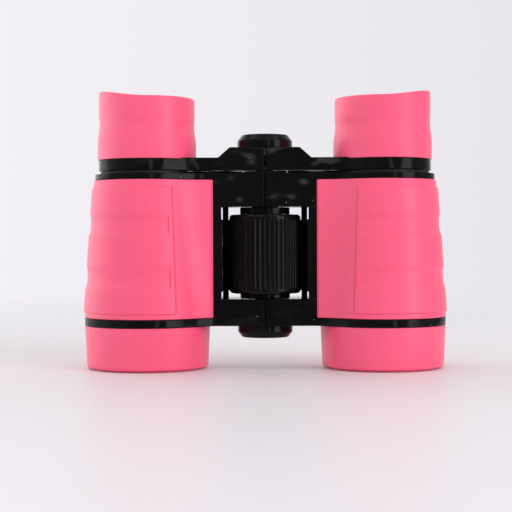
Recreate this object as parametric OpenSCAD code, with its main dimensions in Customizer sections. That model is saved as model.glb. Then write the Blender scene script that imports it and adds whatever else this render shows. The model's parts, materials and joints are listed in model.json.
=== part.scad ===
// Toy binoculars standing on their objective rings.
// Millimetres, Z up along the hinge axis, the barrels lie at plus and minus X, the front is at minus Y.

/* [Barrels] */

// Distance between the two barrel axes when opened flat
barrel_spacing = 72.6; // [68:0.2:78]
// Radius of the front lens
lens_r = 15; // [13.5:0.1:16]
// Wall of the spigot that carries the front lens
spigot_wall = 1.55; // [1.2:0.05:2]
// Wall of the rubber objective ring
ring_wall = 2.35; // [1.8:0.05:3.2]
// Height of the objective ring
ring_h = 13.3; // [12:0.1:16]
// Rounding of the objective ring at the foot
ring_round = 1.6; // [0.8:0.1:3]
// How far the black band stands out past the objective ring
band_proud = 0.3; // [0.2:0.05:0.6]
// Height of the black band above the objective ring
band_h = 2.4; // [1.6:0.1:3.5]
// Height of the rubber grip
grip_h = 41.95; // [39:0.05:46]
// How much the grip narrows in radius from foot to top
grip_taper = 2.95; // [1.5:0.05:3.4]
// Thickness of the rubber grip
grip_wall = 1.2; // [0.8:0.05:1.6]
// How far the top flange lies inside the grip
flange_step = 0.4; // [0:0.05:1]
// Height of the flange above the grip
flange_h = 1.85; // [1.2:0.05:3]
// Wall of the barrel
barrel_wall = 1.7; // [1.2:0.1:2.2]

/* [Grip panel] */

// Height of the plain rim under the raised panel
panel_foot = 1.5; // [1:0.1:4]
// Height of the plain rim over the raised panel
panel_head = 2.15; // [1:0.05:5]
// How far the panel stands out
panel_rise = 0.46; // [0.3:0.02:1.2]
// Height of the slope at the panel's ends
panel_ramp = 0.35; // [0.2:0.05:1]
// Angle from the outer side to the panel's upright edge
panel_angle = 122.4; // [95:0.2:124]
// Angle from the outer side to the end of the finger valleys
valley_angle = 115; // [80:0.5:116]
// Depth of the finger valleys
valley_depth = 0.46; // [0.2:0.02:0.8]
// Start of the lower valley above the foot of the grip
low_valley_z = 9; // [5:0.1:11]
// Height of the lower valley
low_valley_h = 7.2; // [5:0.1:10]
// Start of the upper valley above the foot of the grip
high_valley_z = 25; // [22:0.1:27]
// Height of the upper valley
high_valley_h = 6.9; // [5:0.1:9]

/* [Wings and webs] */

// Distance of the grip's flat wing from the middle plane
wing_y = 9.3; // [8.8:0.05:10.5]
// Hollow rounding between barrel and wing
wing_round = 20; // [8:0.5:24]
// Distance of the grip's upright edge from the hinge axis
wing_edge = 15.7; // [15:0.1:17]
// Thickness of the webs beside the wheel
web_wall = 1.85; // [1.2:0.05:2.4]
// Space between the wheel and the front webs, along X
web_gap = 1.85; // [0.8:0.05:2]
// How far the front webs are notched at both ends
web_notch = 0.4; // [0.2:0.05:1]
// How far the rear webs are notched at both ends
rear_notch = 0.63; // [0.3:0.01:1]
// Height of the notches and slots at the upper ends of the webs
notch_h = 3.8; // [2:0.1:6]
// Height of the notches and slots at the lower ends of the webs
low_notch_h = 2.2; // [1.6:0.1:4]
// Width of the light slots in the rear webs
slot_w = 0.8; // [0.5:0.05:1.2]

/* [Hinge] */

// Radius of the hinge knuckles
knuckle_r = 7; // [6.4:0.05:7.2]
// Thickness of the shell that covers the knuckles
shell_wall = 1.9; // [1.4:0.05:2.2]
// How far the lugs fall back from the middle band to the wings
lug_fall = 0.4; // [0:0.05:0.8]
// Half width of the flat band down the middle of the lugs
band_half_w = 4.2; // [2:0.1:6]
// Half width of the seam at the front of the body lugs
seam = 0.2; // [0.15:0.05:0.4]
// Half width of the seam at the front of the eyepiece bridge
bridge_seam = 0.4; // [0.15:0.05:0.6]
// Angle that the right half folds
fold_angle = 70; // [40:1:76]
// Angle kept free past the fold, for both halves together
fold_spare = 2; // [1:0.5:6]
// Height of the lower lugs
low_lug_h = 8.1; // [6.5:0.1:9]
// Rise of the boss over the upper lugs
boss_rise = 0.45; // [0.2:0.05:0.5]
// Half width of the boss at its top
boss_half_w = 4.6; // [4:0.1:8]
// Width of the slope at each end of the boss
boss_slope = 4.6; // [1:0.1:6]
// Radius of the hollow hinge bush
bush_r = 4; // [3.5:0.05:4.4]
// Radius of the lower hinge pin
pin_r = 3; // [2.4:0.05:3.6]

/* [Focus drive] */

// Radius of the focus wheel
wheel_r = 11; // [10.5:0.1:11.6]
// Height of the focus wheel
wheel_h = 24.1; // [20:0.1:25]
// Bevel of the wheel's rims across the radius
wheel_bevel = 0.6; // [0.5:0.05:2]
// Height of the bevel of the wheel's rims
rim_bevel_h = 0.7; // [0.5:0.05:2]
// Number of flutes round the wheel
flute_n = 45; // [30:1:52]
// Radius of each flute
flute_r = 0.5; // [0.3:0.02:0.6]
// Depth of each flute
flute_depth = 0.38; // [0.2:0.02:0.5]
// Smooth rim left between the rim bevels and the flutes
flute_rim = 0.8; // [0.2:0.1:2]
// Radius of the necks above and below the wheel
neck_r = 7.7; // [6.5:0.05:8]
// Height of the neck under the wheel
low_neck_h = 1.6; // [1.5:0.05:3]
// Height of the neck over the wheel
high_neck_h = 2.3; // [1.5:0.05:3.2]
// Radius of the journals that the wheel turns on
journal_r = 5; // [4.6:0.05:6]
// Length of the journals inside the wheel
journal_l = 2.8; // [2:0.1:4]
// Radius of the focus screw
screw_r = 2.5; // [2:0.05:2.8]
// Radius of the screw's plain end in the bridge
stem_r = 3; // [2.9:0.05:3.6]
// Radius of the screw's shoulder
shoulder_r = 5; // [4.6:0.05:5.4]
// Height of the screw's shoulder
shoulder_h = 0.8; // [0.6:0.05:1.2]
// Travel of the eyepieces
focus_travel = 5; // [3:0.1:6]

/* [Eyepieces] */

// Gap between the body and the bridge at rest
bridge_gap = 0.9; // [0.8:0.05:1.2]
// Half width of the rests that the bridge comes down on
rest_half_w = 5; // [3:0.5:7]
// How far the eyepiece ring stands out past the sliding tube
eye_shoulder = 2.83; // [2.4:0.01:3.4]
// Height of the eyepiece ring and of the bridge arms
eye_ring_h = 3.5; // [3.4:0.1:5]
// Hollow rounding between eyepiece ring and arm
arm_round = 18; // [4:0.5:20]
// How far the arm stands up beside the eyecup's foot
arm_rise = 0.4; // [0.2:0.05:0.8]
// Rise of the hump in the middle of the bridge
hump_h = 3.5; // [2.6:0.1:4]
// Half width of the hump's top
hump_half_w = 10.6; // [9.4:0.1:11]
// Width of the slope at each end of the hump
hump_slope = 3.5; // [3:0.1:4.4]
// Radius of the sliding eyepiece tube
tube_r = 12; // [11:0.1:12.2]
// Wall of the sliding eyepiece tube
tube_wall = 1.4; // [1:0.05:1.6]
// Length of the sliding tube that stays in its guide at full travel
tube_engage = 10.4; // [8:0.1:13]
// Length of the guide bore in the body
guide_l = 13.4; // [10:0.1:16]
// Radius of the eye lens
ocular_r = 10; // [9:0.1:10.2]
// Height of the spigot that carries the eyecup
eye_spigot_h = 12.1; // [11.4:0.1:14]

/* [Eyecups] */

// How far the eyecup's foot stands out past the eyepiece ring
cup_proud = 0.3; // [0:0.05:0.8]
// How far the waist of the eyecup is drawn in
cup_waist = 0.6; // [0:0.05:1]
// How far the eyecup's rim lies inside its foot
cup_draft = 0.45; // [0:0.05:0.8]
// Height of the eyecup on the low side
cup_h = 18.8; // [17:0.1:22]
// Rise of the wing on the outer side
cup_wing = 2.2; // [0:0.1:4]
// Rounding of the eyecup's rim on the outside
cup_round = 0.9; // [0.5:0.1:1.9]
// Thickness of the eyecup's wall at the rim
cup_wall = 2.55; // [2.4:0.05:3.2]

/* [Caps] */

// Radius of the caps on the hinge axis
cap_r = 8.45; // [7.6:0.05:8.6]
// Height of the top cap
cap_h = 4.1; // [3.6:0.1:5]
// Height of the bottom cap
foot_cap_h = 3.7; // [3:0.1:5]
// Bevel of the top cap across its radius
cap_bevel = 1.45; // [0.6:0.05:2]
// Bevel of the bottom cap across its radius
foot_cap_bevel = 1.25; // [0.4:0.05:2]

/* [Clearances] */

// Gap of sliding and turning fits
run_gap = 0.05; // [0.03:0.01:0.08]
// Gap of fixed fits
fix_gap = 0.02; // [0.01:0.01:0.05]
// Gap between rubber and the plastic under it
skin_gap = 0.08; // [0.05:0.01:0.12]
// Gap between faces that pass each other
pass_gap = 0.1; // [0.08:0.01:0.2]
// Gap round the knuckles
knuckle_gap = 0.3; // [0.25:0.05:0.4]

/* [Hidden] */

$fn = 96;
rubber = [0.98, 0.4, 0.55];
black = [0.07, 0.07, 0.08];
dark = [0.13, 0.13, 0.14];
clear = [0.75, 0.85, 0.9];
steel = [0.7, 0.7, 0.72];

half_spacing = barrel_spacing / 2;
lens_seat_r = lens_r + run_gap;
spigot_r = lens_seat_r + spigot_wall;
ring_bore_r = spigot_r + skin_gap;
ring_r = ring_bore_r + ring_wall;
lip_h = 2.2;
lip_r = lens_r + 0.2;
lip_bevel = 0.6;
band_r = ring_r + band_proud;
grip_r = band_r;
grip_top_r = grip_r - grip_taper;
body_r = grip_r - grip_wall;
body_top_r = grip_top_r - grip_wall;
flange_r = grip_top_r - flange_step;
eye_ring_r = tube_r + eye_shoulder;
cup_r = eye_ring_r + cup_proud;

z_band = ring_h;
z_grip = z_band + band_h;
z_flange = z_grip + grip_h;
z_body_top = z_flange + flange_h;
z_boss = z_body_top + boss_rise;
z_bridge = z_body_top + bridge_gap;
z_cup = z_bridge + eye_ring_h;
z_arm = z_cup + arm_rise;
z_hump = z_cup + hump_h;
z_low_lug = z_band + low_lug_h;
z_wheel = z_low_lug + low_neck_h;
z_wheel_top = z_wheel + wheel_h;
z_high_lug = z_wheel_top + high_neck_h;
z_cap = z_hump + pass_gap;

lens_shoulder_z = ring_h - 3.7;
lens_shoulder_h = 1.6;
lens_edge = 2.2;
lens_curve_r = 83;
shoulder_bore_r = lens_r - 1;
retainer_w = 1.2;
retainer_h = 2.6;
retainer_bevel = 0.7;
lens_land = lens_r - retainer_w - run_gap;
cavity_z = lens_shoulder_z + lens_shoulder_h;
guide_r = tube_r + run_gap;
tube_l = bridge_gap + focus_travel + tube_engage;
guide_z = z_body_top - guide_l;

pocket_r = knuckle_r + knuckle_gap;
lug_y = pocket_r + shell_wall;
lug_end_y = lug_y - lug_fall;
lug_end = wing_edge - pass_gap;
skin_y = wing_y - grip_wall;
plate_y = skin_y - skin_gap;
rear_angle = 90 - (fold_angle + fold_spare) / 2;
knuckle_arm_y = 4.6;
front_web_x = wheel_r + web_gap;
rear_web_x = wheel_r - 0.2;
rear_slot_x = front_web_x + 0.4;
web_reach = half_spacing - body_top_r + 4;
cup_seat_r = cup_r + 2 * pass_gap;

stem_z = z_bridge + shoulder_h;
journal_space = 0.2;
screw_z = z_wheel + journal_l + 1.2;
screw_bevel = 0.5;
cap_bore = 2.6;
cap_space = 0.2;
cap_wall_share = 0.55;
pin_end = 1.9;
eye_spigot_r = tube_r + 0.2;
eye_spigot_z = z_cup + eye_spigot_h;
ocular_z = z_cup + 5.6;
ocular_cone = 1.5;
ocular_curve_r = 20.8;
ocular_middle = 1;
ocular_land = ocular_r - 1.2;
ocular_sag = ocular_curve_r - sqrt(ocular_curve_r * ocular_curve_r - ocular_land * ocular_land);
ocular_edge = ocular_middle + 2 * ocular_sag;
ocular_lip_h = 1.4;
ocular_retainer_h = 1.4;
ocular_bevel = 0.6;
ocular_seat_r = ocular_r + run_gap;
cup_bore_r = eye_spigot_r + skin_gap + 0.06;

// Points along an arc about (x, y), from one angle to another in n steps.
function arc(x, y, r, from, to, n) =
    [for (i = [0 : n]) [
        x + r * cos(from + (to - from) * i / n),
        y + r * sin(from + (to - from) * i / n)
    ]];

function unit(t) = min(1, max(0, t));

// Puts a form that was made for the right side on its own side.
module on_left() {
    mirror([1, 0, 0])
        children();
}

module on_barrel() {
    translate([half_spacing, 0, 0])
        children();
}

// Middle of the hollow rounding that touches a barrel and ends on the wing. A rounding too wide
// for the wing ends on the wing's edge, which lies at (-reach, y) from the barrel axis.
function hollow_middle(r, y, hollow, reach) =
    let (far = sqrt(pow(r + hollow, 2) - pow(y + hollow, 2)))
    let (edge = sqrt(reach * reach + y * y))
    let (along = (r * r + 2 * r * hollow + edge * edge) / (2 * edge))
    let (across = sqrt(pow(r + hollow, 2) - along * along))
    far < reach ? [-far, y + hollow]
    : [(y * across - reach * along) / edge, (y * along + reach * across) / edge];

// The hollow rounding from barrel to wing as points, in n steps.
function hollow_arc(r, y, hollow, reach, n) =
    let (c = hollow_middle(r, y, hollow, reach))
    arc(c[0], c[1], hollow, atan2(-c[1], -c[0]), atan2(y - c[1], max(0, -reach - c[0])), n);

// A barrel's outline with a wing towards the hinge and hollow roundings between them.
module winged_outline(r, y, hollow, reach) {
    side = hollow_arc(r, y, hollow, reach, 8);
    half = concat([[0, 0]], side, [[-reach, y], [-reach, 0]]);
    union() {
        circle(r = r);
        polygon(half);
        mirror([0, 1])
            polygon(half);
    }
}

// One half of a hinge lug in plan: seam at the front, open sector at the back.
module lug_outline(half_seam) {
    rear_x = lug_end_y / tan(rear_angle);
    polygon([
        [half_seam, -lug_y],
        [band_half_w, -lug_y],
        [lug_end, -lug_end_y],
        [lug_end, lug_end_y],
        [rear_x, lug_end_y],
        [half_seam, half_seam * tan(rear_angle)],
    ]);
}

// A knuckle ring with the short arm that ties it to its own lug.
module knuckle(z0, z1, bore_r) {
    translate([0, 0, z0])
        difference() {
            union() {
                cylinder(r = knuckle_r, h = z1 - z0);
                translate([0, -knuckle_arm_y, 0])
                    cube([pocket_r + shell_wall / 2, 2 * knuckle_arm_y, z1 - z0]);
            }
            translate([0, 0, -1])
                cylinder(r = bore_r, h = z1 - z0 + 2);
        }
}

module body_lug(z0, z1) {
    translate([0, 0, z0])
        linear_extrude(z1 - z0)
            lug_outline(seam);
}

module block(x0, x1, y0, y1, z0, z1) {
    translate([x0, y0, z0])
        cube([x1 - x0, y1 - y0, z1 - z0]);
}

// The web on one face: a plate under the grip and a raised strip beside the wheel.
module web(edge_x) {
    block(edge_x, web_reach, plate_y - web_wall, plate_y, z_low_lug - 1, z_high_lug + 1);
    block(edge_x, lug_end, plate_y - web_wall, lug_end_y, z_low_lug - 1, z_high_lug + 1);
}

// What is cut from the lower and upper end of a web.
module web_ends(x0, x1, y0, y1) {
    block(x0, x1, y0, y1, z_low_lug, z_low_lug + low_notch_h);
    block(x0, x1, y0, y1, z_high_lug - notch_h, z_high_lug);
}

module front_web() {
    difference() {
        mirror([0, 1, 0])
            web(front_web_x);
        web_ends(0, front_web_x + web_notch, -wing_y - 1, 0);
    }
}

module rear_web() {
    difference() {
        web(rear_web_x);
        web_ends(0, rear_web_x + rear_notch, 0, wing_y + 1);
        web_ends(rear_slot_x, rear_slot_x + slot_w, 0, wing_y + 1);
    }
}

module barrel_solid() {
    rotate_extrude()
        polygon([
            [0, lip_h],
            [spigot_r, lip_h],
            [spigot_r, z_band],
            [body_r, z_band],
            [body_r, z_grip],
            [body_top_r, z_flange],
            [body_top_r, z_body_top],
            [0, z_body_top],
        ]);
}

// Lens seat, shoulder, tapered chamber and the guide bore of the eyepiece tube.
module barrel_bore() {
    slope = (body_r - body_top_r) / grip_h;
    chamber_top = guide_z - 3;
    chamber_r = body_r - barrel_wall;
    chamber_top_r = chamber_r - slope * (chamber_top - z_grip);
    rotate_extrude()
        polygon([
            [0, lip_h - 1],
            [lens_seat_r, lip_h - 1],
            [lens_seat_r, lens_shoulder_z],
            [shoulder_bore_r, lens_shoulder_z],
            [shoulder_bore_r, cavity_z],
            [lens_r, cavity_z],
            [lens_r, z_band],
            [chamber_r, z_grip],
            [chamber_top_r, chamber_top],
            [guide_r, guide_z],
            [guide_r, z_body_top + 1],
            [0, z_body_top + 1],
        ]);
}

// A lug's outline drawn up to a trapezoid that is seen from the front.
module raised_lug(half_seam, half_w, slope, z0, z1) {
    intersection() {
        translate([0, 0, z0 - 1])
            linear_extrude(z1 - z0 + 1)
                lug_outline(half_seam);
        rotate([90, 0, 0])
            linear_extrude(4 * lug_y, center = true)
                polygon([
                    [0, z0 - 1],
                    [half_w + slope, z0 - 1],
                    [half_w + slope, z0],
                    [half_w, z1],
                    [0, z1],
                ]);
    }
}

module body_shell() {
    reach = half_spacing - lug_end + 1;
    difference() {
        union() {
            on_barrel()
                barrel_solid();
            on_barrel()
                translate([0, 0, z_band])
                    linear_extrude(band_h)
                        winged_outline(band_r, lug_end_y, wing_round, reach);
            on_barrel()
                translate([0, 0, z_flange])
                    linear_extrude(flange_h)
                        winged_outline(flange_r, lug_end_y, wing_round, reach);
            body_lug(z_band, z_low_lug);
            body_lug(z_high_lug, z_body_top);
            raised_lug(seam, boss_half_w, boss_slope, z_body_top, z_boss);
            block(knuckle_r, half_spacing - tube_r, -rest_half_w, rest_half_w, z_flange, z_bridge - pass_gap);
            block(lug_end - 1, web_reach, -plate_y, plate_y, z_band + 1, z_low_lug);
            block(lug_end - 1, web_reach, -plate_y, plate_y, z_high_lug, z_flange + 1);
            front_web();
            rear_web();
        }
        on_barrel()
            barrel_bore();
        translate([0, 0, z_band - 1])
            cylinder(r = pocket_r, h = low_lug_h + 2);
        translate([0, 0, z_high_lug - 1])
            cylinder(r = pocket_r, h = z_boss - z_high_lug + 2);
    }
}

// The left half carries the upper knuckle of each lug, the right half the lower one.
module body(upper) {
    low_mid = (z_band + z_low_lug) / 2;
    high_mid = (z_high_lug + z_boss) / 2;
    bore_gap = upper ? fix_gap : run_gap;
    low_z0 = upper ? low_mid + pass_gap : z_band;
    low_z1 = upper ? z_low_lug : low_mid - pass_gap;
    high_z0 = upper ? high_mid + pass_gap : z_high_lug;
    high_z1 = upper ? z_boss : high_mid - pass_gap;
    union() {
        body_shell();
        knuckle(low_z0, low_z1, pin_r + bore_gap);
        knuckle(high_z0, high_z1, bush_r + bore_gap);
    }
}

// The grip is a loft: heights from foot to head, each with the same run of columns round the barrel.
grip_foot = z_grip + run_gap;
grip_head = z_flange - run_gap;
panel_z0 = z_grip + panel_foot;
panel_z1 = z_flange - panel_head;
valley_steps = [0, 0.12, 0.24, 0.36, 0.6, 0.84, 0.92, 1];
valley_foot = 0.36;
valley_head = 0.16;
low_z = z_grip + low_valley_z;
high_z = z_grip + high_valley_z;
grip_rows = concat(
    [grip_foot, panel_z0, panel_z0 + panel_ramp],
    [(panel_z0 + panel_ramp + low_z) / 2],
    [for (t = valley_steps) low_z + low_valley_h * t],
    [for (i = [1 : 2]) low_z + low_valley_h + (high_z - low_z - low_valley_h) * i / 3],
    [for (t = valley_steps) high_z + high_valley_h * t],
    [(high_z + high_valley_h + panel_z1 - panel_ramp) / 2],
    [panel_z1 - panel_ramp, panel_z1, grip_head]
);

panel_edge = 1.4;
wing_lip = 0.6;
wing_reach = half_spacing - wing_edge - wing_lip;
open_steps = 13;
hollow_steps = 5;
turn_steps = 3;
grip_columns = concat(
    [for (i = [0 : open_steps]) (valley_angle - panel_edge) * i / open_steps],
    [valley_angle, panel_angle - panel_edge, panel_angle, panel_angle + 2]
);
polar_n = len(grip_columns);
half_n = polar_n + hollow_steps + 2;
grip_n = 2 * half_n - 1;
row_n = len(grip_rows);

function ease(t) = (1 - cos(180 * unit(t))) / 2;

// A finger valley steps in sharply at its head and comes out more slowly at its foot.
function hollow_valley(z, z0, h) =
    let (t = (z - z0) / h)
    valley_depth * min(ease(t / valley_foot), ease((1 - t) / valley_head));

function grip_base(z) = grip_r - grip_taper * (z - z_grip) / grip_h;

function panel_lift(z) = unit((z - panel_z0) / panel_ramp) * unit((panel_z1 - z) / panel_ramp);

function grip_radius(a, z) =
    grip_base(z)
    + panel_rise * panel_lift(z) * unit((panel_angle - a) / panel_edge)
    - (hollow_valley(z, low_z, low_valley_h) + hollow_valley(z, high_z, high_valley_h))
      * unit((valley_angle - a) / panel_edge);

// Column k of the outside on the front half, as distance outwards and distance to the front.
function outer_point(k, z) =
    k < polar_n ? polar_point(grip_columns[k], grip_radius(grip_columns[k], z))
    : k < half_n - 1 ? hollow_arc(grip_base(z), wing_y, wing_round, wing_reach, hollow_steps)[k - polar_n]
    : [-wing_reach - wing_lip, wing_y];

function polar_point(a, r) = [r * cos(a), r * sin(a)];

// Column k of the inside, which follows the barrel and then the flat plate of the web.
function inner_point(k, z) =
    let (r = grip_base(z) - grip_wall + skin_gap)
    let (corner = sqrt(r * r - skin_y * skin_y))
    let (last = grip_columns[polar_n - 1])
    let (bend = (k - polar_n + 1) / turn_steps)
    let (flat = (k - polar_n + 1 - turn_steps) / (half_n - polar_n - turn_steps))
    k < polar_n ? polar_point(grip_columns[k], r)
    : bend <= 1 ? polar_point(last + (atan2(skin_y, -corner) - last) * bend, r)
    : [-corner - (wing_reach + wing_lip - corner) * flat, skin_y];

function place(p, side, z) = [half_spacing + p[0], -side * p[1], z];

function column(i) = abs(i - half_n + 1);

function column_side(i) = i < half_n - 1 ? 1 : -1;

module grip() {
    outer = [for (z = grip_rows) for (i = [0 : grip_n - 1])
        place(outer_point(column(i), z), column_side(i), z)];
    inner = [for (z = [grip_foot, grip_head]) for (i = [0 : grip_n - 1])
        place(inner_point(column(i), z), column_side(i), z)];
    last = grip_n * (row_n - 1);
    low = grip_n * row_n;
    high = low + grip_n;
    end = grip_n - 1;
    outside = [for (r = [0 : row_n - 2]) for (i = [0 : end - 1])
        for (f = [[0, 1, grip_n], [1, grip_n + 1, grip_n]])
            [for (v = f) v + r * grip_n + i]];
    inside = [for (i = [0 : end - 1])
        for (f = [[low, high, low + 1], [low + 1, high, high + 1]])
            [for (v = f) v + i]];
    foot = [for (i = [0 : end - 1])
        for (f = [[0, low, 1], [1, low, low + 1]])
            [for (v = f) v + i]];
    head = [for (i = [0 : end - 1])
        for (f = [[last, last + 1, high], [last + 1, high + 1, high]])
            [for (v = f) v + i]];
    first_edge = concat([low], [for (r = [0 : row_n - 1]) r * grip_n], [high]);
    last_edge = concat([low + end, high + end], [for (r = [0 : row_n - 1]) last + end - r * grip_n]);
    polyhedron(
        points = concat(outer, inner),
        faces = concat(outside, inside, foot, head, [first_edge, last_edge])
    );
}

module objective_ring() {
    rotate_extrude()
        polygon(concat(
            [[lip_r + lip_bevel, 0]],
            arc(ring_r - ring_round, ring_round, ring_round, 270, 360, 6),
            [
                [ring_r, ring_h - run_gap],
                [ring_bore_r, ring_h - run_gap],
                [ring_bore_r, lip_h - run_gap],
                [lip_r, lip_h - run_gap],
                [lip_r, lip_bevel],
            ]
        ));
}

// Both faces bulge inside the flat land that the shoulder and the retainer hold.
module objective_lens() {
    sag = lens_curve_r - sqrt(lens_curve_r * lens_curve_r - lens_land * lens_land);
    spread = asin(lens_land / lens_curve_r);
    z0 = lens_shoulder_z - run_gap - lens_edge;
    z1 = lens_shoulder_z - run_gap;
    rotate_extrude()
        polygon(concat(
            arc(0, z0 - sag + lens_curve_r, lens_curve_r, 270, 270 + spread, 8),
            [[lens_r, z0], [lens_r, z1]],
            arc(0, z1 + sag - lens_curve_r, lens_curve_r, 90 - spread, 90, 8)
        ));
}

module objective_retainer() {
    top = lens_shoulder_z - 2 * run_gap - lens_edge;
    rotate_extrude()
        polygon([
            [lens_r - retainer_w, top - retainer_h + retainer_bevel],
            [lens_r - retainer_w + retainer_bevel, top - retainer_h],
            [lens_r, top - retainer_h],
            [lens_r, top],
            [lens_r - retainer_w, top],
        ]);
}

module eyepiece_revolve() {
    rotate_extrude()
        polygon([
            [0, z_bridge - tube_l],
            [tube_r, z_bridge - tube_l],
            [tube_r, z_bridge],
            [eye_ring_r, z_bridge],
            [eye_ring_r, z_cup - run_gap],
            [eye_spigot_r, z_cup - run_gap],
            [eye_spigot_r, eye_spigot_z],
            [0, eye_spigot_z],
        ]);
}

module eyepiece_bore() {
    bore_r = tube_r - tube_wall;
    rotate_extrude()
        polygon([
            [0, z_bridge - tube_l - 1],
            [bore_r, z_bridge - tube_l - 1],
            [bore_r, ocular_z - ocular_lip_h - ocular_cone],
            [ocular_land, ocular_z - ocular_lip_h],
            [ocular_land, ocular_z],
            [ocular_seat_r, ocular_z],
            [ocular_seat_r, eye_spigot_z + 1],
            [0, eye_spigot_z + 1],
        ]);
}

// The arm from the eyepiece ring to the hinge, with a round seat for the eyecup and a hump in the middle.
module bridge_arm() {
    difference() {
        on_barrel()
            translate([0, 0, z_bridge])
                linear_extrude(z_arm - z_bridge)
                    winged_outline(eye_ring_r, lug_end_y, arm_round, half_spacing - lug_end + 1);
        on_barrel()
            translate([0, 0, z_cup - run_gap])
                cylinder(r = cup_seat_r, h = arm_rise + 1);
    }
    translate([0, 0, z_bridge])
        linear_extrude(z_arm - z_bridge)
            lug_outline(bridge_seam);
    raised_lug(bridge_seam, hump_half_w, hump_slope, z_arm, z_hump);
}

module eyepiece_arm(upper) {
    mid = (z_bridge + z_hump) / 2;
    z0 = upper ? mid + pass_gap : z_bridge;
    z1 = upper ? z_hump : mid - pass_gap;
    difference() {
        union() {
            difference() {
                union() {
                    on_barrel()
                        eyepiece_revolve();
                    bridge_arm();
                }
                translate([0, 0, z_bridge - 1])
                    cylinder(r = pocket_r, h = z_hump - z_bridge + 2);
            }
            knuckle(z0, z1, stem_r + (upper ? fix_gap : run_gap));
        }
        on_barrel()
            eyepiece_bore();
        translate([0, 0, z_bridge - 1])
            cylinder(r = shoulder_r + pass_gap, h = shoulder_h + pass_gap + 1);
    }
}

// Both faces are hollow.
module ocular_lens() {
    spread = asin(ocular_land / ocular_curve_r);
    z0 = ocular_z + run_gap;
    z1 = z0 + ocular_edge;
    low_centre = z0 + ocular_sag - ocular_curve_r;
    high_centre = z1 - ocular_sag + ocular_curve_r;
    rotate_extrude()
        polygon(concat(
            arc(0, low_centre, ocular_curve_r, 90, 90 - spread, 7),
            [[ocular_r, z0], [ocular_r, z1]],
            arc(0, high_centre, ocular_curve_r, 270 + spread, 270, 7)
        ));
}

module ocular_retainer() {
    z0 = ocular_z + ocular_edge + 2 * run_gap;
    z1 = z0 + ocular_retainer_h;
    rotate_extrude()
        polygon([
            [ocular_land, z0],
            [ocular_r, z0],
            [ocular_r, z1],
            [ocular_land + ocular_bevel, z1],
            [ocular_land, z1 - ocular_bevel],
        ]);
}

// The eyecup is a turned form whose height grows towards the outer side.
cup_columns = 44;
cup_rim_r = cup_r - cup_draft;
cup_foot_bevel = 0.3;
cup_draw_z = 4.4;
cup_waist_z = 10.5;
cup_wall_z = 12.6;
cup_notch = cup_waist - cup_draft;
cup_mouth_r = cup_rim_r - cup_wall;
cup_floor = eye_spigot_h + 0.3;
cup_floor_r = ocular_r + 1.1;
cup_lip = cup_wall - cup_round - 0.1;

// The side runs straight up from the foot, draws in to a faint waist and goes on straight to the rim.
function cup_side(h) =
    cup_r
    - cup_waist * ease((h - cup_draw_z) / (cup_waist_z - cup_draw_z))
    + cup_notch * ease((h - cup_waist_z) / (cup_wall_z - cup_waist_z));

cup_heights = concat(
    [for (i = [0 : 4]) cup_draw_z + (cup_waist_z - cup_draw_z) * i / 4],
    [for (i = [1 : 2]) cup_waist_z + (cup_wall_z - cup_waist_z) * i / 2]
);

// Profile points: radius, height above the eyecup's foot, share of the wing's rise.
cup_profile = concat(
    [
        [cup_bore_r, 0, 0],
        [cup_r - cup_foot_bevel, 0, 0],
        [cup_r, cup_foot_bevel, 0],
    ],
    [for (h = cup_heights) [cup_side(h), h, h / cup_h]],
    [for (p = arc(cup_rim_r - cup_round, cup_h - cup_round, cup_round, 0, 90, 4)) [p[0], p[1], 1]],
    [
        [cup_mouth_r + cup_lip, cup_h, 1],
        [cup_mouth_r, cup_h - cup_lip, 1],
        [cup_mouth_r - 0.4, cup_floor + 1.4, 0.2],
        [cup_floor_r + 0.8, cup_floor + 1, 0],
        [cup_floor_r, cup_floor + 0.7, 0],
        [cup_floor_r, cup_floor, 0],
        [cup_bore_r, cup_floor, 0],
    ]
);

function wing_share(a) = pow(max(0, cos(a)), 1.5);

module eyecup() {
    n = len(cup_profile);
    points = [for (c = [0 : cup_columns - 1])
        let (a = 360 * c / cup_columns)
        for (p = cup_profile)
            [p[0] * cos(a), p[0] * sin(a), z_cup + p[1] + p[2] * cup_wing * wing_share(a)]];
    faces = [for (c = [0 : cup_columns - 1]) for (i = [0 : n - 1])
        let (d = (c + 1) % cup_columns)
        let (j = (i + 1) % n)
        for (f = [[c * n + i, c * n + j, d * n + i], [d * n + i, c * n + j, d * n + j]])
            f];
    polyhedron(points = points, faces = faces);
}

module focus_wheel() {
    flute_end = rim_bevel_h + flute_rim;
    bore_z = z_wheel + journal_l + journal_space;
    bore_top = z_wheel_top - journal_l - journal_space;
    color(black)
        difference() {
            rotate_extrude()
                polygon([
                    [screw_r + run_gap, bore_z],
                    [journal_r + run_gap, bore_z],
                    [journal_r + run_gap, z_wheel],
                    [wheel_r - wheel_bevel, z_wheel],
                    [wheel_r, z_wheel + rim_bevel_h],
                    [wheel_r, z_wheel_top - rim_bevel_h],
                    [wheel_r - wheel_bevel, z_wheel_top],
                    [journal_r + run_gap, z_wheel_top],
                    [journal_r + run_gap, bore_top],
                    [screw_r + run_gap, bore_top],
                ]);
            for (i = [0 : flute_n - 1])
                rotate([0, 0, 360 * i / flute_n])
                    translate([wheel_r - flute_depth + flute_r, 0, z_wheel + flute_end])
                        cylinder(r = flute_r, h = wheel_h - 2 * flute_end, $fn = 24);
        }
}

module focus_screw() {
    color(steel)
        rotate_extrude()
            polygon([
                [0, screw_z],
                [screw_r - screw_bevel, screw_z],
                [screw_r, screw_z + screw_bevel],
                [screw_r, z_bridge],
                [shoulder_r, z_bridge],
                [shoulder_r, stem_z],
                [stem_r, stem_z],
                [stem_r, z_cap + cap_bore - cap_space],
                [0, z_cap + cap_bore - cap_space],
            ]);
}

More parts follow.
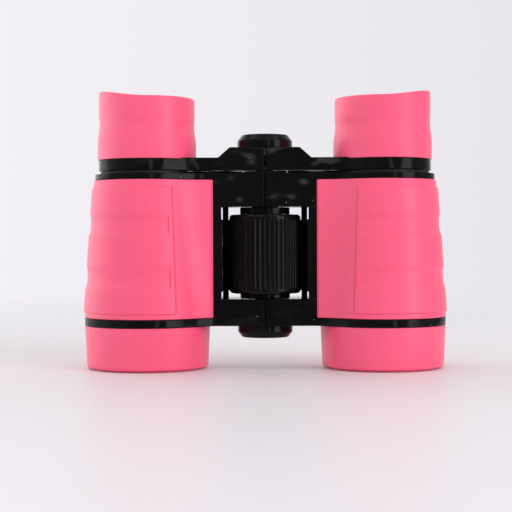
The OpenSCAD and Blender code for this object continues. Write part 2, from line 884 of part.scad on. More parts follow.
module upper_hinge_bush() {
    neck_z0 = z_wheel_top + pass_gap;
    neck_z1 = z_high_lug - pass_gap;
    color(dark)
        rotate_extrude()
            polygon([
                [screw_r + run_gap, z_wheel_top - journal_l],
                [journal_r, z_wheel_top - journal_l],
                [journal_r, neck_z0],
                [neck_r, neck_z0],
                [neck_r, neck_z1],
                [bush_r, neck_z1],
                [bush_r, z_boss],
                [screw_r + run_gap, z_boss],
            ]);
}

module lower_hinge_pin() {
    neck_z0 = z_low_lug + pass_gap;
    neck_z1 = z_wheel - pass_gap;
    color(dark)
        rotate_extrude()
            polygon([
                [0, z_band - pin_end],
                [pin_r, z_band - pin_end],
                [pin_r, neck_z0],
                [neck_r, neck_z0],
                [neck_r, neck_z1],
                [journal_r, neck_z1],
                [journal_r, z_wheel + journal_l],
                [0, z_wheel + journal_l],
            ]);
}

module top_cap() {
    color(black)
        rotate_extrude()
            polygon([
                [stem_r + fix_gap, z_cap],
                [cap_r, z_cap],
                [cap_r, z_cap + cap_h * cap_wall_share],
                [cap_r - cap_bevel, z_cap + cap_h],
                [0, z_cap + cap_h],
                [0, z_cap + cap_bore],
                [stem_r + fix_gap, z_cap + cap_bore],
            ]);
}

module bottom_cap() {
    top = z_band - pass_gap;
    color(black)
        rotate_extrude()
            polygon([
                [0, top - foot_cap_h],
                [cap_r - foot_cap_bevel, top - foot_cap_h],
                [cap_r, top - foot_cap_h * cap_wall_share],
                [cap_r, top],
                [pin_r + fix_gap, top],
                [pin_r + fix_gap, z_band - pin_end - cap_space],
                [0, z_band - pin_end - cap_space],
            ]);
}

module left_body() {
    color(black)
        on_left()
            body(true);
}

module right_body() {
    color(black)
        body(false);
}

module left_grip() {
    color(rubber)
        on_left()
            grip();
}

module right_grip() {
    color(rubber)
        grip();
}

module left_objective_ring() {
    color(rubber)
        on_left()
            on_barrel()
                objective_ring();
}

module right_objective_ring() {
    color(rubber)
        on_barrel()
            objective_ring();
}

module left_objective_lens() {
    color(clear)
        on_left()
            on_barrel()
                objective_lens();
}

module right_objective_lens() {
    color(clear)
        on_barrel()
            objective_lens();
}

module left_objective_retainer() {
    color(dark)
        on_left()
            on_barrel()
                objective_retainer();
}

module right_objective_retainer() {
    color(dark)
        on_barrel()
            objective_retainer();
}

module left_eyepiece_arm() {
    color(black)
        on_left()
            eyepiece_arm(true);
}

module right_eyepiece_arm() {
    color(black)
        eyepiece_arm(false);
}

module left_ocular_lens() {
    color(clear)
        on_left()
            on_barrel()
                ocular_lens();
}

module right_ocular_lens() {
    color(clear)
        on_barrel()
            ocular_lens();
}

module left_ocular_retainer() {
    color(dark)
        on_left()
            on_barrel()
                ocular_retainer();
}

module right_ocular_retainer() {
    color(dark)
        on_barrel()
            ocular_retainer();
}

module left_eyecup() {
    color(rubber)
        on_left()
            on_barrel()
                eyecup();
}

module right_eyecup() {
    color(rubber)
        on_barrel()
            eyecup();
}

left_body();
right_body();
left_grip();
right_grip();
left_objective_ring();
right_objective_ring();
left_objective_lens();
right_objective_lens();
left_objective_retainer();
right_objective_retainer();
left_eyepiece_arm();
right_eyepiece_arm();
left_ocular_lens();
right_ocular_lens();
left_ocular_retainer();
right_ocular_retainer();
left_eyecup();
right_eyecup();
focus_wheel();
focus_screw();
upper_hinge_bush();
lower_hinge_pin();
top_cap();
bottom_cap();
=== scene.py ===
import json
import math

import bmesh
import bpy
from mathutils import Matrix, Vector

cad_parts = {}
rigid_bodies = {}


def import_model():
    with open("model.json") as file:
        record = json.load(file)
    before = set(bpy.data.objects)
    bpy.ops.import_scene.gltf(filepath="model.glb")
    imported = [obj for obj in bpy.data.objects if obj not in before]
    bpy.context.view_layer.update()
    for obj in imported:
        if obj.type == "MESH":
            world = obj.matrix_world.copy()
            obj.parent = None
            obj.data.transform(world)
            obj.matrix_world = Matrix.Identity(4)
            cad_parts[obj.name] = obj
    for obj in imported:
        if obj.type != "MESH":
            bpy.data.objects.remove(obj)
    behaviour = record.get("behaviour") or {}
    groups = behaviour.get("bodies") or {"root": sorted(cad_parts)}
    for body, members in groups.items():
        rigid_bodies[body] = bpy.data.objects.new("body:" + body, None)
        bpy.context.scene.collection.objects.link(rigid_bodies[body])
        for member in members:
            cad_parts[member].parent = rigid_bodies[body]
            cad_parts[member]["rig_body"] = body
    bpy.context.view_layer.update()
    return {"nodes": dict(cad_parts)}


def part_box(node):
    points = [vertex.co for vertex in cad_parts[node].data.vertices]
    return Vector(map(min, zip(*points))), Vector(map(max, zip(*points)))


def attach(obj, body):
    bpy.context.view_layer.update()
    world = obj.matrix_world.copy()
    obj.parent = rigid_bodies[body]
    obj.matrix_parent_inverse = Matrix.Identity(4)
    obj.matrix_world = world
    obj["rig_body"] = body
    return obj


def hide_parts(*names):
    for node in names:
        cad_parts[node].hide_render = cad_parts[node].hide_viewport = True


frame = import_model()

# Barrel housings: two mirrored mouldings in glossy black plastic, each with its lens spigot, its band and
# flange, two hinge lugs and the webs beside the wheel. They come out of the mould with softly broken edges,
# faint sink marks, fine scratches and a little dust.
MM = 0.001
SIDES = ("left", "right")
housing_edge = 0.22 * MM
weld_gap = 0.02 * MM
sharp_angle = math.radians(30)
black = (0.004, 0.004, 0.0044, 1)
worn_black = (0.006, 0.006, 0.0066, 1)
dust_grey = (0.3, 0.3, 0.31, 1)


def add_node(tree, kind, settings=None, **inputs):
    """A shader node whose inputs are set to values, or wired to another node's output."""
    made = tree.nodes.new(kind)
    for key, value in (settings or {}).items():
        setattr(made, key, value)
    for key, value in inputs.items():
        socket = made.inputs[key.replace("_", " ")]
        if isinstance(value, bpy.types.NodeSocket):
            tree.links.new(value, socket)
        else:
            socket.default_value = value
    return made


def ramp(tree, share, *stops):
    """A colour ramp over stops of (place, colour)."""
    made = add_node(tree, "ShaderNodeValToRGB", Fac=share)
    elements = made.color_ramp.elements
    while len(elements) < len(stops):
        elements.new(0.5)
    for element, (place, colour) in zip(elements, stops):
        element.position = place
        element.color = colour
    return made.outputs["Color"]


def grey(value):
    return (value, value, value, 1)


def mix_colours(tree, share, first, second):
    made = add_node(tree, "ShaderNodeMix", {"data_type": "RGBA"})
    for socket, value in ((made.inputs[0], share), (made.inputs[6], first), (made.inputs[7], second)):
        if isinstance(value, bpy.types.NodeSocket):
            tree.links.new(value, socket)
        else:
            socket.default_value = value
    return made.outputs[2]


def new_finish(name, **settings):
    """A material with its shader's plain settings made, and the coordinates that its patterns follow."""
    finish = bpy.data.materials.new(name)
    finish.use_nodes = True
    tree = finish.node_tree
    shader = tree.nodes["Principled BSDF"]
    for key, value in settings.items():
        shader.inputs[key.replace("_", " ")].default_value = value
    place = tree.nodes.new("ShaderNodeTexCoord").outputs["Object"]
    return finish, tree, shader, place


def dust(tree, place, per_metre, size, kept):
    """A mask of tiny round specks: cells per metre, speck radius in cells, share of cells that hold one."""
    cells = add_node(tree, "ShaderNodeTexVoronoi", Vector=place, Scale=per_metre)
    spot = ramp(tree, cells.outputs["Distance"], (size * 0.7, grey(1)), (size, grey(0)))
    lucky = ramp(tree, cells.outputs["Color"], (kept, grey(1)), (kept + 0.01, grey(0)))
    both = add_node(tree, "ShaderNodeMath", {"operation": "MULTIPLY"})
    tree.links.new(spot, both.inputs[0])
    tree.links.new(lucky, both.inputs[1])
    return both.outputs["Value"]


def gloss_black_finish(name):
    finish, tree, shader, place = new_finish(name, IOR=1.5, Specular_IOR_Level=0.15)
    specks = dust(tree, place, per_metre=420, size=0.07, kept=0.3)
    cloud = add_node(tree, "ShaderNodeTexNoise", Vector=place, Scale=70, Detail=3)
    tone = ramp(tree, cloud.outputs["Fac"], (0.3, black), (0.75, worn_black))
    tree.links.new(mix_colours(tree, specks, tone, dust_grey), shader.inputs["Base Color"])
    drawn_out = add_node(tree, "ShaderNodeMapping", Vector=place, Scale=(1, 1, 14), Rotation=(0.5, 0.4, 0))
    streaks = add_node(tree, "ShaderNodeTexNoise", Vector=drawn_out.outputs["Vector"], Scale=420, Detail=4)
    gloss = ramp(tree, streaks.outputs["Fac"], (0.42, grey(0.07)), (0.62, grey(0.1)), (0.8, grey(0.22)))
    tree.links.new(mix_colours(tree, specks, gloss, grey(0.7)), shader.inputs["Roughness"])
    sinks = add_node(tree, "ShaderNodeTexNoise", Vector=place, Scale=110, Detail=1)
    soft = add_node(tree, "ShaderNodeBump", Strength=0.9, Distance=0.8 * MM, Height=sinks.outputs["Fac"])
    fine = add_node(tree, "ShaderNodeBump", Strength=0.12, Distance=0.02 * MM,
                    Height=streaks.outputs["Fac"], Normal=soft.outputs["Normal"])
    tree.links.new(fine.outputs["Normal"], shader.inputs["Normal"])
    return finish


def softened_copy(node, edge):
    """A copy of a moulded solid with its sharp edges rounded."""
    shape = bmesh.new()
    shape.from_mesh(frame["nodes"][node].data)
    bmesh.ops.remove_doubles(shape, verts=shape.verts, dist=weld_gap)
    bmesh.ops.dissolve_limit(shape, angle_limit=math.radians(0.5), verts=shape.verts, edges=shape.edges)
    sharp = [e for e in shape.edges if e.calc_face_angle(0) > sharp_angle]
    bmesh.ops.bevel(shape, geom=sharp, offset=edge, segments=3, affect="EDGES", profile=0.5, material=-1)
    return shape


def add_piece(name, shape, finish, node):
    """Makes a finished shape a piece that stands for a solid and rides with it."""
    mesh = bpy.data.meshes.new(name)
    shape.to_mesh(mesh)
    shape.free()
    mesh.shade_smooth()
    mesh.set_sharp_from_angle(angle=math.radians(38))
    mesh.materials.append(finish)
    piece = bpy.data.objects.new(name, mesh)
    bpy.context.scene.collection.objects.link(piece)
    weighted = piece.modifiers.new("flat_faces", "WEIGHTED_NORMAL")
    weighted.keep_sharp = True
    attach(piece, frame["nodes"][node]["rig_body"])
    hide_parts(node)
    return piece


gloss_black = gloss_black_finish("gloss_black")
for side in SIDES:
    add_piece(f"{side}_housing", softened_copy(f"{side}_body", housing_edge), gloss_black,
              f"{side}_body")


# Front lenses: clear acrylic, both faces bulging, with a thin coating that tints the reflections.
# Each drops into its spigot against a shoulder.
lens_edge = 2.2 * MM
lens_land = 1.25 * MM
lens_rings = 20
lens_tint = (0.97, 0.98, 1, 1)
hair = 0.002 * MM
ring_low, ring_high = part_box("right_objective_ring")
barrel_x = (ring_low.x + ring_high.x) / 2


def turned(profile, steps=128, closed=True):
    """An outline of (radius, height) turned about an upright axis. A third number rounds that corner."""
    shape = bmesh.new()
    corners = [shape.verts.new((point[0], 0, point[1])) for point in profile]
    ends = corners[1:] + corners[:1] if closed else corners[1:]
    sides = [shape.edges.new(pair) for pair in zip(corners, ends)]
    bmesh.ops.spin(shape, geom=corners + sides, axis=(0, 0, 1), angle=2 * math.pi, steps=steps,
                   use_merge=True)
    bmesh.ops.remove_doubles(shape, verts=shape.verts, dist=hair / 2)
    bmesh.ops.recalc_face_normals(shape, faces=shape.faces)
    for radius, height, rounding in (point for point in profile if len(point) == 3):
        rim = [e for e in shape.edges if all(
            abs(math.hypot(v.co.x, v.co.y) - radius) < hair and abs(v.co.z - height) < hair
            for v in e.verts)]
        bmesh.ops.bevel(shape, geom=rim, offset=rounding, segments=6, affect="EDGES",
                        profile=0.5, material=-1)
    return shape


def on_barrel(shape, side):
    """Moves a shape made about the axis of the hinge to its own barrel, mirrored on the left."""
    bmesh.ops.translate(shape, verts=shape.verts, vec=(barrel_x, 0, 0))
    if side == "left":
        bmesh.ops.scale(shape, verts=shape.verts, vec=(-1, 1, 1))
        bmesh.ops.reverse_faces(shape, faces=shape.faces)
    return shape


def lens_profile(clear_r, edge_r, low, high, low_sag, high_sag):
    """A lens cut through its middle: out along the lower face to the land, and back along the upper one."""
    def face(height, sag):
        return [(clear_r * i / lens_rings, height + sag * (1 - (i / lens_rings) ** 2))
                for i in range(lens_rings + 1)]
    return face(low, low_sag) + [(edge_r, low), (edge_r, high)] + face(high, high_sag)[::-1]


def glass_finish(name):
    finish, tree, shader, place = new_finish(
        name, Base_Color=lens_tint, IOR=1.49, Transmission_Weight=1,
        Thin_Film_Thickness=290, Thin_Film_IOR=1.38)
    smear = add_node(tree, "ShaderNodeTexNoise", Vector=place, Scale=160, Detail=4, Distortion=1.5)
    haze = ramp(tree, smear.outputs["Fac"], (0.5, grey(0)), (0.8, grey(0.06)))
    specks = dust(tree, place, per_metre=300, size=0.06, kept=0.25)
    tree.links.new(mix_colours(tree, specks, haze, grey(0.5)), shader.inputs["Roughness"])
    return finish


lens_glass = glass_finish("coated_lens")
lens_low, lens_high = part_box("right_objective_lens")
lens_r = (lens_high.x - lens_low.x) / 2
lens_sag = (lens_high.z - lens_low.z - lens_edge) / 2
for side in SIDES:
    bulging = lens_profile(lens_r - lens_land, lens_r, lens_low.z + lens_sag, lens_high.z - lens_sag,
                           -lens_sag, lens_sag)
    add_piece(f"{side}_front_lens", on_barrel(turned(bulging, closed=False), side), lens_glass,
              f"{side}_objective_lens")


# Lens retainers: thin rings of dull black plastic, pressed in to hold each lens against its shoulder.
# They line the light path, so their faces are grained to keep reflections down.
retainer_edge = 0.12 * MM


def dull_black_finish(name):
    finish, tree, shader, place = new_finish(name, IOR=1.48)
    grain = add_node(tree, "ShaderNodeTexNoise", Vector=place, Scale=3200, Detail=3)
    cloud = add_node(tree, "ShaderNodeTexNoise", Vector=place, Scale=130, Detail=2)
    tone = ramp(tree, cloud.outputs["Fac"], (0.3, grey(0.01)), (0.7, grey(0.018)))
    tree.links.new(tone, shader.inputs["Base Color"])
    tree.links.new(ramp(tree, grain.outputs["Fac"], (0.3, grey(0.52)), (0.7, grey(0.68))),
                   shader.inputs["Roughness"])
    bump = add_node(tree, "ShaderNodeBump", Strength=0.3, Distance=0.03 * MM, Height=grain.outputs["Fac"])
    tree.links.new(bump.outputs["Normal"], shader.inputs["Normal"])
    return finish


dull_black = dull_black_finish("dull_black")
for side in SIDES:
    for end in ("objective", "ocular"):
        node = f"{side}_{end}_retainer"
        add_piece(f"{side}_{end}_lens_ring", softened_copy(node, retainer_edge), dull_black,
                  node)


# Objective rings: soft pink rubber pushed over the lens spigots. The binoculars stand on them, so the foot
# is rounded and stepped in, the side has a little draft, and a lip turns in under the plastic.
ring_foot_round = 0.8 * MM
foot_step = 0.45 * MM
foot_inset = 1.9 * MM
ring_flare = 0.2 * MM
ring_draft = 0.35 * MM
ring_edge = 0.3 * MM
ring_bore = 16.68 * MM
lip_r = 15.2 * MM
lip_bevel = 0.6 * MM
lip_h = 2.15 * MM
pink = (0.96, 0.1, 0.216, 1)
pink_deep = (0.935, 0.091, 0.2, 1)
pink_dust = (0.95, 0.45, 0.52, 1)


def pink_rubber_finish(name):
    finish, tree, shader, place = new_finish(name, IOR=1.6, Sheen_Weight=0.1, Sheen_Roughness=0.3)
    cloud = add_node(tree, "ShaderNodeTexNoise", Vector=place, Scale=38, Detail=4, Roughness=0.55)
    tone = ramp(tree, cloud.outputs["Fac"], (0.3, pink_deep), (0.65, pink))
    specks = dust(tree, place, per_metre=260, size=0.045, kept=0.2)
    tree.links.new(mix_colours(tree, specks, tone, pink_dust), shader.inputs["Base Color"])
    grain = add_node(tree, "ShaderNodeTexNoise", Vector=place, Scale=4200, Detail=3)
    tree.links.new(ramp(tree, cloud.outputs["Fac"], (0.3, grey(0.43)), (0.7, grey(0.36))),
                   shader.inputs["Roughness"])
    uneven = add_node(tree, "ShaderNodeBump", Strength=0.12, Distance=0.3 * MM, Height=cloud.outputs["Fac"])
    fine = add_node(tree, "ShaderNodeBump", Strength=0.3, Distance=0.02 * MM,
                    Height=grain.outputs["Fac"], Normal=uneven.outputs["Normal"])
    tree.links.new(fine.outputs["Normal"], shader.inputs["Normal"])
    return finish


pink_rubber = pink_rubber_finish("pink_rubber")
ring_r = (ring_high.x - ring_low.x) / 2
foot_r = ring_r - ring_draft
ring_profile = [
    (lip_r + lip_bevel, ring_low.z),
    (foot_r - foot_inset, ring_low.z),
    (foot_r - foot_inset, ring_low.z + foot_step),
    (foot_r, ring_low.z + foot_step, ring_foot_round),
    (ring_r + ring_flare, ring_high.z, ring_edge),
    (ring_bore, ring_high.z),
    (ring_bore, lip_h),
    (lip_r, lip_h),
    (lip_r, lip_bevel),
]
for side in SIDES:
    add_piece(f"{side}_foot_ring", on_barrel(turned(ring_profile), side), pink_rubber,
              f"{side}_objective_ring")


# Grip sleeves: pink rubber moulded as an open sleeve that snaps round the barrel. A raised finger panel
# with two shallow valleys wraps its outer side, and its ends run into flat wings beside the wheel.
grip_low, grip_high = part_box("right_grip")
grip_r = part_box("right_body")[1].x - barrel_x
grip_taper = 2.95 * MM
grip_wall = 1.12 * MM
grip_rim_round = 0.4 * MM
panel_rise = 0.46 * MM
panel_ramp = 0.45 * MM
panel_low = grip_low.z + 1.45 * MM
panel_high = grip_high.z - 2.1 * MM
panel_angle = 122.4
panel_edge = 3
valley_angle = 116.2
valley_edge = 0.6
valley_depth = 0.46 * MM
valley_foot = 0.3
valley_head = 0.36
low_valley = (grip_low.z + 8.95 * MM, 7.2 * MM)
high_valley = (grip_low.z + 24.95 * MM, 6.9 * MM)
wing_y = 9.3 * MM
wing_round = 20 * MM
wing_lip = 0.6 * MM
wing_reach = barrel_x - grip_low.x - wing_lip
last_angle = panel_angle + 2
turn_end, hollow_end, wing_end = last_angle + 1, last_angle + 2, last_angle + 3
plain_angle = 96
crease = 0.05 * MM
ramp_margin = 0.15 * MM
edge_margin = 0.3
valley_margin = 0.2
rim_angle = math.radians(55)


def stations(start, *stretches):
    """Places along a line: each stretch has its end and its number of steps."""
    marks = [start]
    for end, steps in stretches:
        first = marks[-1]
        marks += [first + (end - first) * i / steps for i in range(1, steps + 1)]
    return marks


def ease(share):
    """A soft step from 0 to 1."""
    share = min(1, max(0, share))
    return share * share * (3 - 2 * share)


def between(share, first, second):
    return first + (second - first) * share


def valley(z, start, height):
    """A finger valley steps in softly at its head and comes out on a slope that ends in a crisp edge."""
    share = (z - start) / height
    slope = min(1, max(0, share / valley_foot))
    return valley_depth * min(slope * (2 - slope), ease((1 - share) / valley_head))


def grip_base(z):
    return grip_r - grip_taper * (z - grip_low.z) / (grip_high.z - grip_low.z)


def grip_radius(angle, z):
    lift = ease((z - panel_low) / panel_ramp) * ease((panel_high - z) / panel_ramp)
    dip = valley(z, *low_valley) + valley(z, *high_valley)
    return (grip_base(z) + panel_rise * lift * ease((panel_angle - angle) / panel_edge)
            - dip * ease((valley_angle - angle) / valley_edge))


def polar(angle, radius):
    return Vector((radius * math.cos(math.radians(angle)), radius * math.sin(math.radians(angle))))


def hollow_middle(base):
    """The middle of the hollow rounding that touches the barrel and ends at the wing's lip."""
    span = base + wing_round
    edge = math.hypot(wing_reach, wing_y)
    along = (base * base + 2 * base * wing_round + edge * edge) / (2 * edge)
    beside = math.sqrt(span * span - along * along)
    return Vector((wing_y * beside - wing_reach * along, wing_y * along + wing_reach * beside)) / edge


def sleeve_outside(run, z):
    """A point of the outer face. The run is the angle from the outer side, then the hollow and the wing."""
    base = grip_base(z)
    if run <= last_angle:
        return polar(run, grip_radius(run, z))
    middle = hollow_middle(base)
    touch = math.degrees(math.atan2(middle.y, middle.x))
    if run <= turn_end:
        return polar(between(run - last_angle, last_angle, touch), base)
    if run <= hollow_end:
        end = math.degrees(math.atan2(wing_y - middle.y, -wing_reach - middle.x))
        return middle + polar(between(run - turn_end, touch - 180, end), wing_round)
    return Vector((-wing_reach - wing_lip * (run - hollow_end), wing_y))


def sleeve_inside(run, z):
    """A point of the inner face, which follows the barrel and then the flat web under the wing."""
    base = grip_base(z) - grip_wall
    flat = wing_y - grip_wall
    corner = math.sqrt(base * base - flat * flat)
    last = math.degrees(math.atan2(flat, -corner))
    if run <= last_angle:
        return polar(run, base)
    if run <= turn_end:
        return polar(between(run - last_angle, last_angle, last), base)
    return Vector((between((run - turn_end) / 2, -corner, -wing_reach - wing_lip), flat))


def valley_stretches(start, height):
    return ((start - crease, 7), (start + crease, 1), (start + valley_foot * height, 12),
            (start + (1 - valley_head) * height, 6), (start + height, 10))


half_columns = stations(
    0, (plain_angle, 40), (valley_angle - valley_edge - edge_margin, 8), (valley_angle + valley_margin, 10),
    (panel_angle - panel_edge - edge_margin, 4), (panel_angle + edge_margin, 10), (last_angle, 2),
    (turn_end, 4), (hollow_end, 14), (wing_end, 2))
sleeve_columns = [-run for run in half_columns[:0:-1]] + half_columns
sleeve_rows = stations(
    grip_low.z, (panel_low - ramp_margin, 2), (panel_low + panel_ramp + ramp_margin, 8),
    *valley_stretches(*low_valley), *valley_stretches(*high_valley),
    (panel_high - panel_ramp - ramp_margin, 6), (panel_high + ramp_margin, 8), (grip_high.z, 3))


def grip_sleeve():
    """A sheet with the sleeve's columns and rows, thickened and wrapped round the barrel."""
    sheet = bmesh.new()
    across, up = len(sleeve_columns) - 1, len(sleeve_rows) - 1
    bmesh.ops.create_grid(sheet, x_segments=across, y_segments=up, size=0.5)
    lining = bmesh.ops.extrude_face_region(sheet, geom=sheet.faces[:], use_keep_orig=True)["geom"]
    lining_verts = [part for part in lining if isinstance(part, bmesh.types.BMVert)]
    bmesh.ops.translate(sheet, verts=lining_verts, vec=(0, 0, 1))
    for vert in sheet.verts:
        run = sleeve_columns[round((vert.co.x + 0.5) * across)]
        z = sleeve_rows[round((vert.co.y + 0.5) * up)]
        point = (sleeve_inside if vert.co.z > 0.5 else sleeve_outside)(abs(run), z)
        vert.co = (point.x, math.copysign(point.y, -run), z)
    bmesh.ops.recalc_face_normals(sheet, faces=sheet.faces)
    rims = [e for e in sheet.edges if e.calc_face_angle(0) > rim_angle]
    bmesh.ops.bevel(sheet, geom=rims, offset=grip_rim_round, segments=4, affect="EDGES",
                    profile=0.5, material=-1)
    return sheet


for side in SIDES:
    add_piece(f"{side}_sleeve", on_barrel(grip_sleeve(), side), pink_rubber, f"{side}_grip")


# Hinge bush and hinge pin: turned black plastic on the hinge axis. Their necks show above and below the
# wheel. The bush is hollow so that the focus screw slides through it, and a dull black disc on its top
# fills the gap under the bridge as painted shade.
neck_edge = 0.2 * MM
gap_disc_r = 6.8 * MM
gap_disc_bore = 2.7 * MM
gap_disc_h = 0.35 * MM
bush_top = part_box("upper_hinge_bush")[1].z


def plain_ring(bore, radius, low, height):
    return turned([(bore, low), (radius, low), (radius, low + height), (bore, low + height)])


for node in ("upper_hinge_bush", "lower_hinge_pin"):
    add_piece(f"{node}_turned", softened_copy(node, neck_edge), gloss_black, node)
# a dull black disc on the bush top, standing in for the shade in the gap under the bridge
add_piece("shade_disc", plain_ring(gap_disc_bore, gap_disc_r, bush_top, gap_disc_h), dull_black,
          "upper_hinge_bush")


# Shade rings: dull black rings on the flanges round the sliding tubes. They fill the gap under the bridge
# so that it shows dark: dark rings standing in for painted shade in that gap.
shade_ring_r = 14.2 * MM
shade_ring_bore = 12.3 * MM
shade_ring_h = 0.78 * MM
bush_proud = 0.45 * MM
flange_z = bush_top - bush_proud
for side in SIDES:
    # a dark ring put in the gap under the bridge as painted shade
    shade_ring = plain_ring(shade_ring_bore, shade_ring_r, flange_z, shade_ring_h)
    add_piece(f"{side}_shade_ring", on_barrel(shade_ring, side), dull_black, f"{side}_body")


# Focus wheel: one piece of glossy black plastic with rounded rims and upright flutes for the finger. It
# turns on the necks of the bush and the pin, and the focus screw runs in its bore.
flute_count = 45
flute_width = 1.2 * MM
flute_depth = 0.38 * MM
flute_rim = 0.7 * MM
flute_end = 0.4 * MM
flute_steps = 14
rim_bevel = 0.6 * MM
rim_bevel_h = 0.7 * MM
rim_round = 0.18 * MM
journal_bore = 5.05 * MM
journal_l = 3 * MM
thread_bore = 2.55 * MM
skin = 0.01 * MM
wheel_low, wheel_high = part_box("focus_wheel")
wheel_r = (wheel_high.x - wheel_low.x) / 2
flute_low = wheel_low.z + rim_bevel_h + flute_rim
flute_high = wheel_high.z - rim_bevel_h - flute_rim


def fluted_wheel():
    rows = stations(flute_low, (flute_low + flute_end, 5), (flute_high - flute_end, 6), (flute_high, 5))
    shape = turned(
        [(thread_bore, wheel_low.z + journal_l), (journal_bore, wheel_low.z + journal_l),
         (journal_bore, wheel_low.z), (wheel_r - rim_bevel, wheel_low.z, rim_round),
         (wheel_r, wheel_low.z + rim_bevel_h, rim_round)]
        + [(wheel_r, z) for z in rows]
        + [(wheel_r, wheel_high.z - rim_bevel_h, rim_round), (wheel_r - rim_bevel, wheel_high.z, rim_round),
           (journal_bore, wheel_high.z), (journal_bore, wheel_high.z - journal_l),
           (thread_bore, wheel_high.z - journal_l)],
        steps=flute_count * flute_steps)
    pitch = 2 * math.pi / flute_count
    for vert in shape.verts:
        radius = math.hypot(vert.co.x, vert.co.y)
        turn = math.atan2(vert.co.y, vert.co.x)
        off_middle = abs((turn / pitch + 0.5) % 1 - 0.5) * pitch * wheel_r
        ends = ease((vert.co.z - flute_low) / flute_end) * ease((flute_high - vert.co.z) / flute_end)
        cut = flute_depth * ends * (1 + math.cos(math.pi * min(1, 2 * off_middle / flute_width))) / 2
        if radius > wheel_r - skin:
            vert.co.xy *= (radius - cut) / radius
    return shape


add_piece("fluted_wheel", fluted_wheel(), gloss_black, "focus_wheel")


# Focus screw: a steel spindle with a fast thread of four starts that runs in the wheel. Its shoulder
# and plain end are fixed in the bridge, so the thread shows when the eyepieces are wound out.
thread_starts = 4
thread_lead = 5 * MM
thread_depth = 0.4 * MM
thread_runout = 1 * MM
thread_rows = 260
groove_slope = 2.4
groove_floor = 0.1
screw_r = 2.5 * MM
screw_point = 0.5 * MM
shoulder_r = 5 * MM
shoulder_h = 0.8 * MM
stem_r = 3 * MM
stem_bevel = 0.3 * MM
shoulder_gap = 0.45 * MM
screw_low, screw_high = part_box("focus_screw")
shoulder_z = bush_top + shoulder_gap
shoulder_top = shoulder_z + shoulder_h


def steel_finish(name):
    finish, tree, shader, place = new_finish(name, Metallic=1)
    drawn_in = add_node(tree, "ShaderNodeMapping", Vector=place, Scale=(1, 1, 20))
    lines = add_node(tree, "ShaderNodeTexNoise", Vector=drawn_in.outputs["Vector"], Scale=500, Detail=4)
    tone = ramp(tree, lines.outputs["Fac"], (0.3, grey(0.42)), (0.7, grey(0.6)))
    tree.links.new(tone, shader.inputs["Base Color"])
    tree.links.new(ramp(tree, lines.outputs["Fac"], (0.3, grey(0.24)), (0.7, grey(0.4))),
                   shader.inputs["Roughness"])
    return finish


def threaded_screw():
    rows = stations(screw_low.z + screw_point, (shoulder_z, thread_rows))
    shape = turned(
        [(0, screw_low.z), (screw_r - screw_point, screw_low.z)] + [(screw_r, z) for z in rows]
        + [(shoulder_r, shoulder_z), (shoulder_r, shoulder_top), (stem_r, shoulder_top),
           (stem_r, screw_high.z, stem_bevel), (0, screw_high.z)],
        steps=64, closed=False)
    for vert in shape.verts:
        radius = math.hypot(vert.co.x, vert.co.y)
        if abs(radius - screw_r) < skin:
            turn = math.atan2(vert.co.y, vert.co.x) / (2 * math.pi)
            start = thread_starts * (turn - vert.co.z / thread_lead)
            groove = ease(groove_slope * abs(start % 1 - 0.5) - groove_floor)
            head, point = (shoulder_z - vert.co.z) / thread_runout, (vert.co.z - rows[0]) / thread_runout
            vert.co.xy *= 1 - thread_depth * groove * ease(head) * ease(point) / radius
    return shape


add_piece("threaded_screw", threaded_screw(), steel_finish("screw_steel"), "focus_screw")


# Caps on the hinge axis: glossy black plastic discs with bevelled rims. The upper one is pressed on the
# screw's end and the lower one on the hinge pin.
cap_edge = 0.2 * MM
for node in ("top_cap", "bottom_cap"):
    add_piece(f"{node}_disc", softened_copy(node, cap_edge), gloss_black, node)


# Eyepiece arms: two mirrored black mouldings. Each is half of the bridge, with the ring and the tube of
# one eyepiece, and they lap on the focus screw like the lugs below them.
arm_edge = 0.22 * MM
for side in SIDES:
    add_piece(f"{side}_arm", softened_copy(f"{side}_eyepiece_arm", arm_edge), gloss_black,
              f"{side}_eyepiece_arm")


# Eye lenses: small clear acrylic lenses, hollow on both faces, with the same coating as the front ones.
# Each lies on a flat land in its eyepiece spigot, under its ring.
eye_land = 1.2 * MM
eye_middle = 1 * MM
eye_low, eye_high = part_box("right_ocular_lens")
eye_r = (eye_high.x - eye_low.x) / 2
eye_sag = (eye_high.z - eye_low.z - eye_middle) / 2
for side in SIDES:
    hollow = lens_profile(eye_r - eye_land, eye_r, eye_low.z, eye_high.z, eye_sag, -eye_sag)
    add_piece(f"{side}_eye_lens", on_barrel(turned(hollow, closed=False), side), lens_glass,
              f"{side}_ocular_lens")


# Eyecups: soft pink rubber cups pushed over the eyepiece spigots, drawn in at the waist. The rim
# rises on the outer side to keep light out of the corner of the eye.
cup_low, cup_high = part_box("right_eyecup")
cup_r = (cup_high.x - cup_low.x) / 2
cup_wing = 2.2 * MM
cup_h = cup_high.z - cup_low.z - cup_wing
cup_waist = 0.6 * MM
cup_draft = 0.45 * MM
draw_z, waist_z, wall_z = 4.4 * MM, 10.5 * MM, 12.6 * MM
cup_bore = 12.34 * MM
cup_wall = 2.55 * MM
cup_round = 0.75 * MM
cup_lip = 1.5 * MM
cup_floor = 12.4 * MM
cup_floor_r = 11.1 * MM
cup_foot_round = 0.3 * MM
mouth_draft = 0.4 * MM
mouth_foot = 1.4 * MM
floor_slope_r, floor_slope_h = 0.8 * MM, 1 * MM
floor_lip_h = 0.7 * MM
wing_fall = 1.5


def cup_side(height):
    """The side runs straight up, draws in to a faint waist and goes on straight to the rim."""
    drawn_in = cup_waist * ease((height - draw_z) / (waist_z - draw_z))
    return cup_r - drawn_in + (cup_waist - cup_draft) * ease((height - waist_z) / (wall_z - waist_z))


